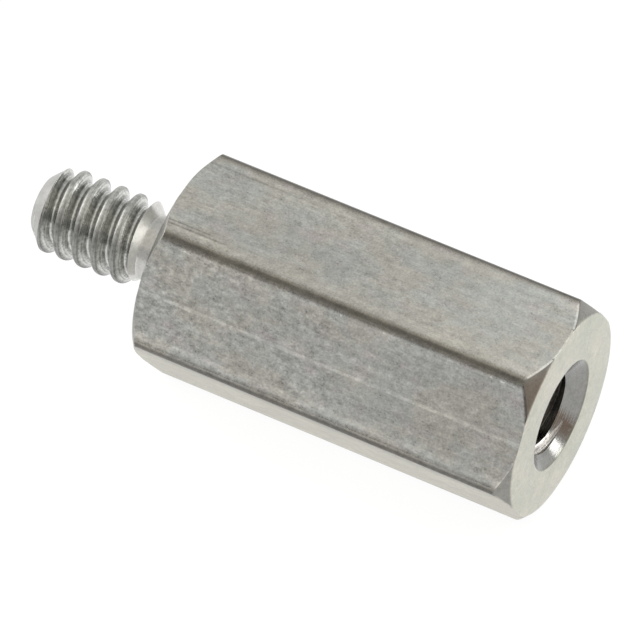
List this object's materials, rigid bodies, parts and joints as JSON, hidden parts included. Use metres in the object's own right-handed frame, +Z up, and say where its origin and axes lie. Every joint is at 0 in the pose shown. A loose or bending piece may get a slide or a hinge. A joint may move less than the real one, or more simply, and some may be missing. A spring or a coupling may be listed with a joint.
{
  "type": "hex standoff",
  "caption": "Male-female hexagonal spacer turned from aluminium bar, with a threaded stud on a square shoulder and a countersunk, tapped blind hole, lying on a flat.",
  "frame": {"origin": "middle of the overall length and width, on the surface that the lower flat lies on", "axes": "+X along the axis from the stud's end to the hole's mouth, +Y across the corners, +Z up, square to the upper flat"},
  "size_m": [0.0174, 0.0072, 0.0063],
  "materials": {
    "aluminium": "satin, drawn flats with fine lengthwise lines and small marks, turned ends"
  },
  "bodies": {
    "root": {"hex_standoff": "aluminium"}
  },
  "joints": []
}
